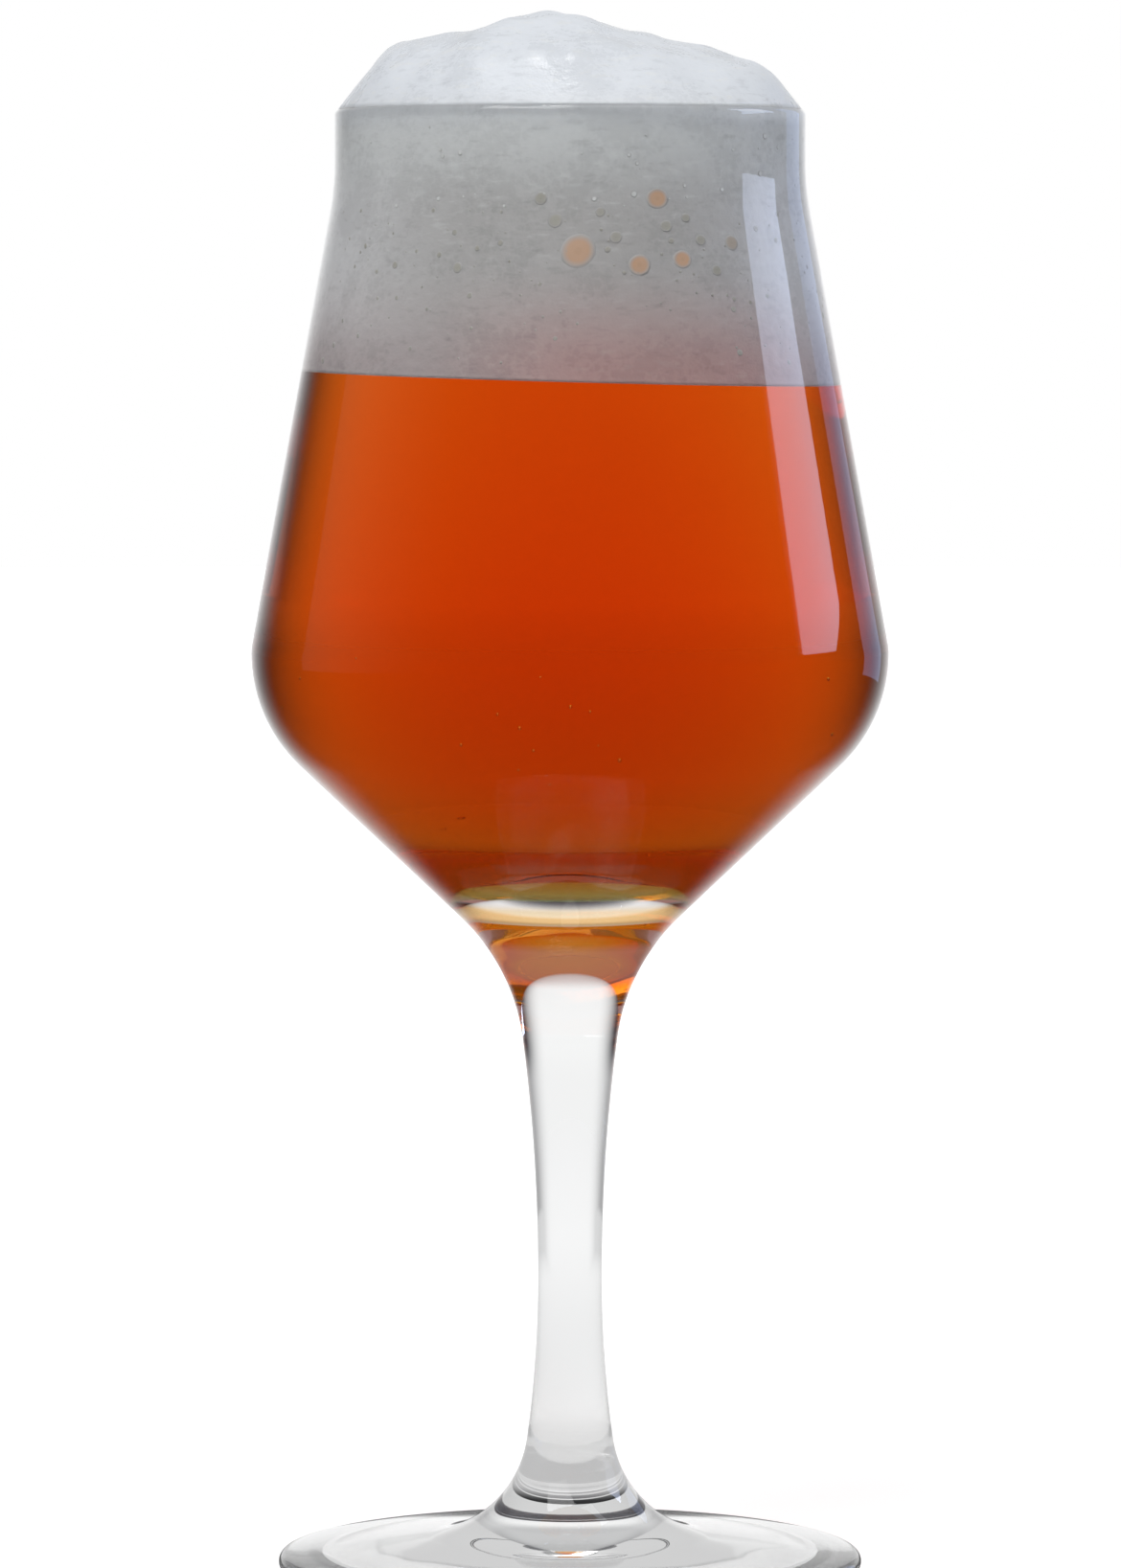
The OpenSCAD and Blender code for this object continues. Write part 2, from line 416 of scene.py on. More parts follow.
times = partial(maths, "MULTIPLY")
plus = partial(maths, "ADD")
less = partial(maths, "SUBTRACT")
most = partial(maths, "MAXIMUM")
is_over = partial(maths, "GREATER_THAN")
is_under = partial(maths, "LESS_THAN")


def span_map(value, low, high, to_low=0.0, to_high=1.0):
    """A value carried smoothly from one span to another."""
    values = {"Value": value, "From Min": low, "From Max": high, "To Min": to_low, "To Max": to_high}
    return node(value.id_data, "MapRange", values, interpolation_type="SMOOTHSTEP").outputs["Result"]


def band(value, rise, fall, full=1.0):
    """A mask that rises over one span of a value and falls over another."""
    return times(span_map(value, *rise, 0.0, full), span_map(value, *fall, 1.0, 0.0))


def blend(share, first, second):
    """A mix of two colours."""
    return node(share.id_data, "Mix", {0: share, 6: first, 7: second}, data_type="RGBA").outputs[2]


def grain(place, scale, detail=2.0, rough=0.5):
    """The value of a noise texture."""
    values = {"Vector": place, "Scale": scale, "Detail": detail, "Roughness": rough}
    return node(place.id_data, "TexNoise", values).outputs["Fac"]


def place_in(tree):
    """The place on a piece, as a vector and in its three parts."""
    place = node(tree, "TexCoord").outputs["Object"]
    return place, node(tree, "SeparateXYZ", {0: place}).outputs


def fresh_group(name, inputs, outputs):
    """A shader node group with named sockets, and what its two end nodes give and take."""
    group = bpy.data.node_groups.new(name, "ShaderNodeTree")
    for title, kind, value in inputs:
        socket = group.interface.new_socket(title, in_out="INPUT", socket_type="NodeSocket" + kind)
        socket.default_value = value
    for title, kind in outputs:
        group.interface.new_socket(title, in_out="OUTPUT", socket_type="NodeSocket" + kind)
    given = group.nodes.new("NodeGroupInput").outputs
    return group, given, group.nodes.new("NodeGroupOutput").inputs


def shared_group(name, maker):
    """A node group, built the first time that it is asked for."""
    return bpy.data.node_groups.get(name) or maker(name)


def shared_material(name, maker, *given):
    """A material, built the first time that it is asked for. Its maker wires what goes to the output."""
    material = bpy.data.materials.get(name)
    if not material:
        material = bpy.data.materials.new(name)
        material.use_nodes = True
        material.node_tree.nodes.clear()
        node(material.node_tree, "OutputMaterial", maker(material.node_tree, *given))
    return material


def sizes():
    """The sizes of the glass and of what it holds."""
    return bpy.context.scene.tulip_glass, bpy.context.scene.tulip_drink


def polish_group(name):
    """Faint waves and handling marks of pressed and polished glass."""
    inputs = (
        ("Wave Scale", "Float", 60.0),
        ("Mark Scale", "Float", 45.0),
        ("Clean Roughness", "Float", 0.0),
        ("Marked Roughness", "Float", 0.02),
        ("Tint", "Color", (1.0, 1.0, 1.0, 1.0)),
    )
    outputs = (("Height", "Float"), ("Roughness", "Float"), ("Color", "Color"))
    tree, given, result = fresh_group(name, inputs, outputs)
    place = node(tree, "TexCoord").outputs["Object"]
    marked = span_map(grain(place, given["Mark Scale"], 6.0), 0.56, 0.74)
    spread = less(given["Marked Roughness"], given["Clean Roughness"])
    rough = plus(given["Clean Roughness"], times(marked, spread))
    dim = node(tree, "HueSaturation", {"Color": given["Tint"], "Value": 0.985}).outputs["Color"]
    feed(grain(place, given["Wave Scale"], 1.0), result["Height"])
    feed(rough, result["Roughness"])
    feed(blend(marked, given["Tint"], dim), result["Color"])
    return tree


def painted_glow_veil(tree, up, waist):
    """How far a painted glow of a plain tone veils the front of the hub, of the bowl's root and of the slim
    stem.
    """
    glass, _ = sizes()
    foot_z = glass.stem_foot_z
    top_z = glass.stem_top_z
    hub = band(up, (0.58 * foot_z, 0.68 * foot_z), (0.95 * foot_z, 1.3 * foot_z), 0.75)
    root_z = [top_z + share * glass.floor_t for share in (0.34, 0.42, 0.58, 0.66)]
    root = band(up, root_z[:2], root_z[2:], 0.45)
    slim = times(waist, span_map(up, top_z - 6 * MM, top_z, 0.42, 0.0))
    inside = node(tree, "NewGeometry").outputs["Backfacing"]
    return times(plus(hub, root, slim), less(1.0, inside))


def glass_material(tree, index):
    """Clear polished glass that lets the lamps through to what it holds.

    A path that the glass has mirrored too often ends in a painted glow of a plain tone: grey in the foot and
    the stem, and amber in the bowl's root. The same painted glow veils the front of the hub, the root and the
    slim stem, and the glass under the cavity has a painted amber tint for the beer's light.
    """
    glass, _ = sizes()
    polish = shared_group("polished_glass_marks", polish_group)
    marks = node(tree, "Group", {"Tint": glass.tint}, node_tree=polish).outputs
    waves = {"Strength": 0.05, "Distance": 0.6 * MM, "Height": marks["Height"]}
    up = place_in(tree)[1]["Z"]
    floor_z = glass.stem_top_z + glass.floor_t
    # Painted light: the glass just under the cavity's floor takes the beer's amber as a tint
    rise = (floor_z - 0.32 * glass.floor_t, floor_z - 0.24 * glass.floor_t)
    warm = band(up, rise, (floor_z - 3 * MM, floor_z - 1.5 * MM))
    clear = shader(
        tree,
        "BsdfPrincipled",
        {
            "Base Color": blend(warm, marks["Color"], glass.painted_root_amber),
            "Roughness": marks["Roughness"],
            "Normal": node(tree, "Bump", waves).outputs["Normal"],
            "IOR": index,
            "Transmission Weight": 1.0,
        },
    )
    open_way = shader(tree, "BsdfTransparent", {"Color": (0.94, 0.95, 0.95)})
    rays = node(tree, "LightPath").outputs
    mixed = shader(tree, "MixShader", {0: rays["Is Shadow Ray"], 1: clear, 2: open_way})
    # Painted glow: an emitted plain tone in place of real light, for over-mirrored paths and as a veil on the
    # hub, root and stem
    amber = span_map(up, glass.stem_top_z, glass.stem_top_z + 0.4 * glass.floor_t)
    waist = span_map(up, glass.stem_foot_z, glass.waist_z)
    grey = blend(waist, (0.66, 0.66, 0.66), (0.85, 0.85, 0.85))
    painted_glow_tone = blend(amber, grey, (0.36, 0.19, 0.17))
    painted_glow = shader(tree, "Emission", {"Color": painted_glow_tone, "Strength": 1.0})
    patience = span_map(up, glass.stem_foot_z, glass.waist_z, 2.5, 3.5)
    spent = is_over(rays["Glossy Depth"], patience)
    painted_glow_mask = most(spent, painted_glow_veil(tree, up, waist))
    ended = shader(tree, "MixShader", {0: painted_glow_mask, 1: mixed, 2: painted_glow})
    return {"Surface": ended}


def contact_material(tree):
    """A face of glass in close contact with another piece or with foam, which bends and mirrors nothing."""
    return {"Surface": shader(tree, "BsdfTransparent", {"Color": WHITE})}


def beer_material(tree):
    """Beer that tints by depth, with painted shade that darkens its colour towards the bottom. Its light is
    bent at the wetted wall, so its own surface bends none.
    """
    glass, drink = sizes()
    place, parts = place_in(tree)
    low_z = glass.stem_top_z + glass.floor_t
    climb = {"Value": parts["Z"], "From Min": low_z, "From Max": glass.belly_z + 2 * MM}
    low_shade_share = node(tree, "MapRange", climb).outputs["Result"]
    bright = blend(grain(place, 35.0, 3.0), (1.0, 0.99, 0.97), (0.985, 0.97, 0.94))
    rays = node(tree, "LightPath").outputs
    # Painted shade: the beer's colour darker and browner towards the bottom
    tone = blend(low_shade_share, (0.57, 0.72, 0.62), bright)
    tone = blend(is_over(rays["Transmission Depth"], 2.5), tone, bright)
    values = {"Base Color": tone, "Roughness": 0.0, "IOR": 1.0, "Transmission Weight": 1.0}
    clear = shader(tree, "BsdfPrincipled", values)
    open_way = shader(tree, "BsdfTransparent", {"Color": (0.80, 0.42, 0.16)})
    straight = shader(tree, "BsdfTransparent", {"Color": tone})
    through = shader(tree, "MixShader", {0: rays["Is Transmission Ray"], 1: clear, 2: straight})
    mixed = shader(tree, "MixShader", {0: rays["Is Shadow Ray"], 1: through, 2: open_way})
    depth = shader(tree, "VolumeAbsorption", {"Color": drink.beer_tint, "Density": drink.beer_depth})
    return {"Surface": mixed, "Volume": depth}


def cells_group(name):
    """Cells of wet foam, small ones among larger ones, and flat ripples."""
    inputs = (("Small Scale", "Float", 2600.0), ("Large Scale", "Float", 1000.0))
    outputs = (("Height", "Float"), ("Mottle", "Float"), ("Ripple", "Float"))
    tree, given, result = fresh_group(name, inputs, outputs)
    place = node(tree, "TexCoord").outputs["Object"]
    layers = []
    for title, share in (("Small Scale", 0.4), ("Large Scale", 0.6)):
        layer = node(tree, "TexVoronoi", {"Vector": place, "Scale": given[title]}).outputs["Distance"]
        layers.append(times(layer, share))
    cells = plus(*layers)
    patches = times(grain(place, 130.0, 3.0), 0.75)
    flat = node(tree, "Mapping", {"Vector": place, "Scale": (1.0, 1.0, 3.5)}).outputs["Vector"]
    feed(less(1.0, cells), result["Height"])
    feed(plus(times(cells, 0.25), patches), result["Mottle"])
    feed(grain(flat, 320.0, 3.0, 0.6), result["Ripple"])
    return tree


def foam_material(tree):
    """Wet white foam, greyer where it is packed against the wall, with painted light and shade.

    The foam is darker low on the front wall, partly as packed wet foam and partly as painted shade, and
    lighter near the lip and at the sides and back as painted light. It has a painted warm glow where the
    beer's light comes through, and a painted glow underneath.
    """
    glass, drink = sizes()
    rim_z = glass.rim_z
    wall_t = glass.wall_t
    texture = node(tree, "Group", node_tree=shared_group("foam_cells", cells_group)).outputs
    parts = place_in(tree)[1]
    up = parts["Z"]
    # Painted light and shade: darker low on the front wall, lighter towards the lip and at the sides and back
    lip_light_share = span_map(up, rim_z - 10 * wall_t, rim_z - 2 * wall_t)
    top_share = span_map(up, rim_z - 3 * wall_t, rim_z + 2 * wall_t)
    turn = maths("ARCTAN2", parts["X"], times(parts["Y"], -1.0))
    backlight_share = span_map(maths("ABSOLUTE", turn), 0.3, 1.5)
    body = blend(backlight_share, drink.foam_low_shaded, drink.foam_side_backlit)
    body = blend(lip_light_share, body, drink.foam_lip_lit)
    body = blend(top_share, body, drink.foam_top)

    # Soaked above the beer line, which leans, and a painted warm glow of the beer's light on the front
    line = less(drink.beer_z, times(parts["X"], drink.beer_lean))
    above = less(up, line)
    near = span_map(above, 0.0, 0.3 * (rim_z - drink.beer_z), 1.0, 0.0)
    body = blend(times(near, 0.8), body, drink.foam_wet)
    aside = maths("ABSOLUTE", less(turn, 0.35))
    faced = span_map(aside, 0.25, 1.0, 1.0, 0.25)
    glowing = span_map(above, 0.0, 0.45 * (rim_z - drink.beer_z), 1.0, 0.0)
    body = blend(times(glowing, faced, 0.9), body, drink.painted_foam_glow)

    # Painted light for what has scattered down through the foam: a whiter colour and a painted glow
    # underneath, and a faint painted glow a little behind the lip
    facing = node(tree, "NewGeometry").outputs["True Normal"]
    down = is_under(node(tree, "SeparateXYZ", {0: facing}).outputs["Z"], -0.5)
    deep = is_over(node(tree, "LightPath").outputs["Transmission Depth"], 1.5)
    deep = times(deep, is_over(above, 0.1 * MM))
    inside = most(down, deep)
    under = times(inside, is_under(above, 2 * wall_t))
    lip = band(up, (rim_z - 1.6 * wall_t, rim_z - 0.4 * wall_t), (rim_z, rim_z + 0.5 * MM))
    painted_scatter_glow = blend(under, blend(lip, (0.0, 0.0, 0.0), (0.03, 0.031, 0.032)), (0.24, 0.75, 1.0))
    body = blend(under, body, drink.foam_under_lit)

    # Ripples and mottling, with a painted sheen that lightens the ripples' crests more towards the lip
    crest = span_map(texture["Ripple"], 0.54, 0.70, 0.0, 0.4)
    higher = span_map(up, drink.beer_z + 6 * MM, rim_z - 6 * MM, 0.2, 1.0)
    body = blend(times(crest, higher), body, drink.bubble_pale_sheen)
    hollow = span_map(texture["Ripple"], 0.30, 0.44, 0.9, 1.0)
    body = node(tree, "HueSaturation", {"Color": body, "Value": hollow}).outputs["Color"]
    dark = node(tree, "HueSaturation", {"Color": body, "Value": 0.92}).outputs["Color"]
    mottle = span_map(texture["Mottle"], 0.36, 0.62)
    pits = {"Strength": 0.12, "Distance": 0.3 * MM, "Height": texture["Height"]}
    foam = shader(
        tree,
        "BsdfPrincipled",
        {
            "Base Color": blend(mottle, dark, body),
            "Roughness": span_map(texture["Mottle"], 0.25, 0.65, 0.16, 0.36),
            "Normal": node(tree, "Bump", pits).outputs["Normal"],
            "IOR": FOAM_INDEX,
            "Emission Color": painted_scatter_glow,
            "Emission Strength": 4.0,
        },
    )
    return {"Surface": foam}


def bubble_material(tree):
    """A bubble against the wall: tan if it is large, grey or pale if it is small, and foam round its edge.
    The pale ones high up are a painted sheen.
    """
    _, drink = sizes()
    texture = node(tree, "Group", node_tree=shared_group("foam_cells", cells_group)).outputs
    rim, warm, pale = (node(tree, "Attribute", attribute_name=title).outputs["Fac"] for title in BUBBLE_MASKS)
    skin = blend(warm, drink.bubble_grey, drink.bubble_tan)
    skin = blend(pale, skin, drink.bubble_pale_sheen)
    skin = blend(span_map(texture["Mottle"], 0.3, 0.62, 0.0, 0.2), skin, drink.foam_low_shaded)
    skin = blend(span_map(rim, 0.5, 1.0), skin, drink.foam_low_shaded)
    rough = span_map(rim, 0.0, 1.0, 0.25, 0.45)
    film = shader(tree, "BsdfPrincipled", {"Base Color": skin, "Roughness": rough, "IOR": FOAM_INDEX})
    return {"Surface": film}


def bead_material(tree):
    """A bead of gas in the beer, which bends light the other way."""
    _, drink = sizes()
    film = grain(node(tree, "TexCoord").outputs["Object"], 900.0)
    gas = shader(
        tree,
        "BsdfPrincipled",
        {
            "Base Color": blend(film, (1.0, 0.98, 0.95), (0.97, 0.93, 0.86)),
            "Roughness": 0.05,
            "IOR": 1.0 / drink.beer_index,
            "Transmission Weight": 1.0,
        },
    )
    return {"Surface": gas}


def clear_glass():
    """The finish of all the clear glass."""
    glass, _ = sizes()
    return shared_material("polished_glass", glass_material, glass.bend)


def wetted_glass():
    """The finish of the wall where beer wets it, with the index of glass against beer."""
    glass, drink = sizes()
    return shared_material("wetted_glass", glass_material, glass.bend / drink.beer_index)


def fused_seam():
    """The face where two pieces of glass are fused."""
    return shared_material("fused_seam", contact_material)


class TULIP_OT_bowl(bpy.types.Operator):
    """Turns the bowl: root, belly, wall, lip and cavity"""

    bl_idname = "tulip.bowl"
    bl_label = "Bowl"

    def execute(self, context):
        glass, drink = sizes()
        shape = glass_shape(glass)
        rim_r = glass.wall_t / 2
        rim = Vector((glass.mouth_d / 2 - rim_r, glass.rim_z - rim_r))
        outline = [Vector((0.0, glass.stem_top_z))]
        run_on(outline, arc(shape.root, glass.bowl_root_r, 180 - shape.top_lean, shape.cone_a, ROOT_STEPS))
        run_on(outline, arc(shape.low, glass.belly_lower_r, shape.cone_a - 180, 0, BELLY_STEPS), steps=10)
        run_on(outline, arc(shape.up, glass.belly_upper_r, 0, shape.wall_a, BEND_STEPS))
        run_on(outline, arc(shape.lip, glass.lip_bend_r, 180 + shape.wall_a, 180, LIP_STEPS), steps=16)
        run_on(outline, arc(rim, rim_r, 0, 180, RIM_STEPS), steps=4)
        foamed = len(outline) - 1 - RIM_STEPS // 2
        run_on(outline, cavity_lip(glass, shape, 0)[::-1], steps=4)
        run_on(outline, [Vector((wall_inside(glass, shape, drink.beer_z, 0), drink.beer_z))], steps=8)
        wet = len(outline) - 1
        run_on(outline, cavity_low(glass, shape, 0)[::-1], steps=10)
        clear, wetted, seam, foamy = range(4)
        slots = [seam] + [clear] * (foamed - 1) + [foamy] * (wet - foamed)
        slots += [wetted] * (len(outline) - 1 - wet)
        line = partial(beer_line, glass, drink, shape, 0)
        mesh = turned("bowl_glass", outline, slots, count=288, sharp=(1,), leaning=wet, line=line)
        foamed_glass = shared_material("foamed_glass", contact_material)
        add_piece(mesh, (clear_glass(), wetted_glass(), fused_seam(), foamed_glass), "bowl")
        return {"FINISHED"}


class TULIP_OT_stem(bpy.types.Operator):
    """Turns the stem: two long hollow arcs that meet at the waist"""

    bl_idname = "tulip.stem"
    bl_label = "Stem"

    def execute(self, context):
        glass, _ = sizes()
        shape = glass_shape(glass)
        waist = Vector((glass.waist_d / 2, glass.waist_z))
        low = waist + Vector((shape.lower_r, 0))
        high = waist + Vector((shape.upper_r, 0))
        outline = [Vector((0.0, glass.stem_foot_z))]
        run_on(outline, arc(low, shape.lower_r, 180 + shape.foot_lean, 180, STEM_LOW_STEPS))
        run_on(outline, arc(high, shape.upper_r, 180, 180 - shape.top_lean, STEM_HIGH_STEPS))
        outline.append(Vector((0.0, glass.stem_top_z)))
        clear, seam = range(2)
        slots = [seam] + [clear] * (len(outline) - 3) + [seam]
        mesh = turned("stem_glass", outline, slots, count=160, sharp=(1, len(outline) - 2))
        add_piece(mesh, (clear_glass(), fused_seam()), "stem")
        return {"FINISHED"}


class TULIP_OT_foot(bpy.types.Operator):
    """Turns the foot: hollow, ring, round edge and root"""

    bl_idname = "tulip.foot"
    bl_label = "Foot"

    def execute(self, context):
        glass, _ = sizes()
        shape = glass_shape(glass)
        hollow = Vector((0.0, glass.foot_hollow_h - shape.hollow_r))
        root_turn = (180 + shape.foot_a, 180 + shape.foot_lean)
        outline = arc(hollow, shape.hollow_r, 90, shape.hollow_a, HOLLOW_STEPS)
        outline[0].x = 0.0
        run_on(outline, arc(shape.edge, glass.foot_edge_t / 2, -90, shape.foot_a, EDGE_STEPS), steps=4)
        run_on(outline, arc(shape.foot_root, glass.foot_root_r, *root_turn, ROOT_STEPS), steps=8)
        outline.append(Vector((0.0, glass.stem_foot_z)))
        clear, seam = range(2)
        slots = [clear] * (len(outline) - 2) + [seam]
        mesh = turned("foot_glass", outline, slots, count=256, sharp=(len(outline) - 2,))
        add_piece(mesh, (clear_glass(), fused_seam()), "foot")
        return {"FINISHED"}


class TULIP_OT_beer(bpy.types.Operator):
    """Fills the cavity with beer up to its line"""

    bl_idname = "tulip.beer"
    bl_label = "Beer"

    def execute(self, context):
        glass, drink = sizes()
        shape = glass_shape(glass)
        outline = cavity_low(glass, shape, FILM)
        run_on(outline, [Vector((wall_inside(glass, shape, drink.beer_z, FILM), drink.beer_z))], steps=10)
        top = len(outline) - 1
        outline.append(Vector((0.0, drink.beer_z)))
        line = partial(beer_line, glass, drink, shape, FILM)
        slots = [0] * (top + 1)
        mesh = turned("beer_body", outline, slots, count=192, sharp=(top,), leaning=top, line=line)
        add_piece(mesh, (shared_material("tinted_beer", beer_material),), "beer")
        return {"FINISHED"}


# Outline of the crown from left to right: share of the crown's radius, and share of the peak's height
CROWN_SHARES = (
    (-1.0, 0.0), (-0.965, 0.10), (-0.925, 0.22), (-0.885, 0.34), (-0.845, 0.46), (-0.81, 0.565),
    (-0.76, 0.635), (-0.685, 0.69), (-0.565, 0.745), (-0.45, 0.86), (-0.335, 0.925), (-0.24, 0.98),
    (-0.105, 1.0), (0.015, 0.98), (0.09, 0.925), (0.16, 0.865), (0.315, 0.80), (0.425, 0.69),
    (0.60, 0.63), (0.72, 0.57), (0.80, 0.51), (0.825, 0.455), (0.88, 0.345), (0.94, 0.17), (1.0, 0.0),
)


def crown_share(across):
    """Height of the crown's outline at a share of its radius, as a share of the peak's height."""
    for (left, low), (right, high) in zip(CROWN_SHARES, CROWN_SHARES[1:]):
        if left <= across <= right:
            return low + (high - low) * (across - left) / (right - left)
    return 0.0


def smooth_crown_share(across):
    """The crown's outline with its corners rounded off."""
    steps = (-0.03, -0.015, 0.0, 0.015, 0.03)
    reach = min(1.0, (1.0 - abs(across)) / (2 * steps[-1]))
    return sum(crown_share(across + step * reach) for step in steps) / len(steps)


def cell_dome(place, size):
    """Height of round cells of a size, from 0 in the creases to 1 at the middle."""
    return 1.0 - min(1.0, noise.voronoi(place / size)[0][0]) ** 2


class TULIP_OT_foam(bpy.types.Operator):
    """Builds the head of foam: the collar inside the glass and the crown above the rim"""

    bl_idname = "tulip.foam"
    bl_label = "Foam head"

    sides = 480
    collar_rows = 84
    crown_rows = 96
    pit_depth = 0.14 * MM
    # How far the foam's foot is sunk in the beer
    sink = Vector((0, 0, 0.04 * MM))
    # How much lower than the peak the crown's outline is drawn, for the lumps on it
    lump_room = 0.8 * MM

    def collar_rings(self, glass, drink, shape):
        """Rings up the wall, pressed flat on the glass with small pits between the cells."""
        foot = [beer_line(glass, drink, shape, FILM, turn) - self.sink for turn in turns(self.sides)]
        top_z = glass.rim_z - glass.wall_t / 2
        rings = [foot]
        for row in range(1, self.collar_rows + 1):
            ring = []
            for turn, low in zip(turns(self.sides), foot):
                height = low.z + (top_z - low.z) * row / self.collar_rows
                radius = wall_inside(glass, shape, height, drink.foam_gap)
                out = Vector((math.cos(turn), math.sin(turn), 0))
                place = out * radius + Vector((0, 0, height))
                pit = 1.0 - cell_dome(place, 1.1 * MM)
                ring.append(place - out * self.pit_depth * pit * pit)
            rings.append(ring)
        return rings

    def bump(self, place):
        """Soft lumps and small cells on the crown, in millimetres."""
        lump = noise.noise(place / (9 * MM)) * 1.1 + noise.noise(place / (4.2 * MM)) * 0.4
        small = cell_dome(place + Vector((1, 2, 3)), 1.1 * MM) * 0.02
        return lump + cell_dome(place, 2.2 * MM) * 0.06 + small

    def crown_rings(self, glass, drink):
        """Rings from the rim up to the middle of the crown."""
        foot_r = glass.mouth_d / 2 - drink.crown_inset
        peak = drink.peak_h - self.lump_room
        rings = []
        for row in range(self.crown_rows):
            share = 1.0 - row / self.crown_rows
            inside = 1.0 - share ** 8
            ring = []
            for place in level_ring(foot_r * share, glass.rim_z + LIP_GAP, self.sides):
                half = math.sqrt(max(foot_r * foot_r - place.x * place.x, TINY))
                fall = 1.0 - min(1.0, abs(place.y) / half) ** 3
                rise = peak * smooth_crown_share(place.x / foot_r) * fall
                ring.append(place + Vector((0, 0, rise + self.bump(place) * inside * MM)))
            rings.append(ring)
        return rings

    def execute(self, context):
        glass, drink = sizes()
        shape = glass_shape(glass)
        collar = self.collar_rings(glass, drink, shape)
        crown = self.crown_rings(glass, drink)
        low = Vector((0, 0, sum(point.z for point in collar[0]) / self.sides))
        high = Vector((0, 0, sum(point.z for point in crown[-1]) / self.sides))
        under = [[low.lerp(point, share) for point in collar[0]] for share in (0.3, 0.6, 0.9)]
        lip_r = glass.mouth_d / 2 - glass.wall_t - drink.foam_gap
        over_lip = level_ring(lip_r, glass.rim_z + LIP_GAP, self.sides)
        mesh = ring_mesh("foam_cap", [[[low], *under, *collar, over_lip, *crown, [high]]])
        add_piece(mesh, (shared_material("wet_foam", foam_material),), "foam_head")
        return {"FINISHED"}


# Large bubbles against the front wall: turn to the right in half circles, share of the way up from the beer
# line to the rim, and share of the largest bubble's diameter
BUBBLE_SHARES = (
    (0.01, 0.47, 1.0), (0.09, 0.42, 0.64), (0.15, 0.44, 0.56), (0.12, 0.66, 0.64), (0.23, 0.50, 0.47),
    (-0.02, 0.58, 0.42), (0.06, 0.52, 0.36), (0.13, 0.56, 0.36), (0.16, 0.59, 0.28), (0.18, 0.51, 0.33),
    (0.20, 0.40, 0.33), (-0.15, 0.41, 0.31), (-0.25, 0.42, 0.22), (0.04, 0.61, 0.28), (-0.04, 0.66, 0.38),
    (-0.13, 0.31, 0.17),
)
# Section of a bubble from its edge in: share of its radius, and share of the gap that it stands out by
BUBBLE_SECTION = ((1.0, -0.6), (0.93, 0.5), (0.8, 0.75), (0.5, 0.8), (0.0, 0.8))


class TULIP_OT_bubbles(bpy.types.Operator):
    """Adds the bubbles that press flat on the wall in front of the foam"""

    bl_idname = "tulip.bubbles"
    bl_label = "Foam bubbles"

    small_count = 420
    back_count = 9
    sides = 24

    def spread(self):
        """The large bubbles of the front, small ones all round and a few at the back, from a fixed seed."""
        places = list(BUBBLE_SHARES)
        chance = random.Random(11)
        while len(places) < self.small_count:
            size = 0.05 + 0.15 * chance.random() ** 3
            place = (chance.uniform(-1, 1), 0.04 + 0.92 * chance.betavariate(1.7, 2.1), size)
            apart = [math.hypot(8 * (place[0] - other[0]), place[1] - other[1]) for other in places]
            if min(apart) > 0.03:
                places.append(place)
        for _ in range(self.back_count):
            places.append((chance.uniform(0.6, 1.4), chance.uniform(0.35, 0.7), chance.uniform(0.25, 0.75)))
        return places

    def execute(self, context):
        glass, drink = sizes()
        shape = glass_shape(glass)
        gap = drink.foam_gap
        stacks = []
        masks = []
        for turn, up, size in self.spread():
            middle_z = drink.beer_z + up * (glass.rim_z - drink.beer_z)
            around = math.pi * turn - math.pi / 2
            warm = min(1.0, max(0.0, (size - 0.45) / 0.08))
            # Painted sheen: small bubbles high up are pale
            pale = 1.0 if up > 0.62 and size < 0.25 else 0.0
            stack = []
            for across, proud in BUBBLE_SECTION:
                ring = []
                for angle in turns(self.sides if across else 1):
                    swell = 1 + 0.05 * math.sin(2 * angle + 9 * turn)
                    reach = across * swell * size * drink.bubble_d / 2
                    height = middle_z + reach * math.sin(angle)
                    wall = wall_inside(glass, shape, height, gap)
                    way = around + reach * math.cos(angle) / wall
                    out = wall + proud * gap
                    ring.append(Vector((out * math.cos(way), out * math.sin(way), height)))
                    masks.append((across, warm, pale))
                stack.append(ring)
            stacks.append(stack)
        mesh = ring_mesh("foam_bubbles", stacks)
        for title, shares in zip(BUBBLE_MASKS, zip(*masks)):
            mesh.attributes.new(title, "FLOAT", "POINT").data.foreach_set("value", shares)
        add_piece(mesh, (shared_material("foam_bubble", bubble_material),))
        return {"FINISHED"}


# Beads of gas behind the front wall: turn to the right in half circles, and height as a share of the belly's
BEAD_SHARES = (
    (-0.03, 0.990), (0.0, 0.960), (0.02, 0.955), (-0.075, 0.952), (-0.053, 0.938), (-0.04, 0.915),
    (-0.06, 0.895), (-0.025, 0.88), (-0.12, 0.92), (0.03, 0.92), (0.055, 0.905), (-0.235, 1.005),
)


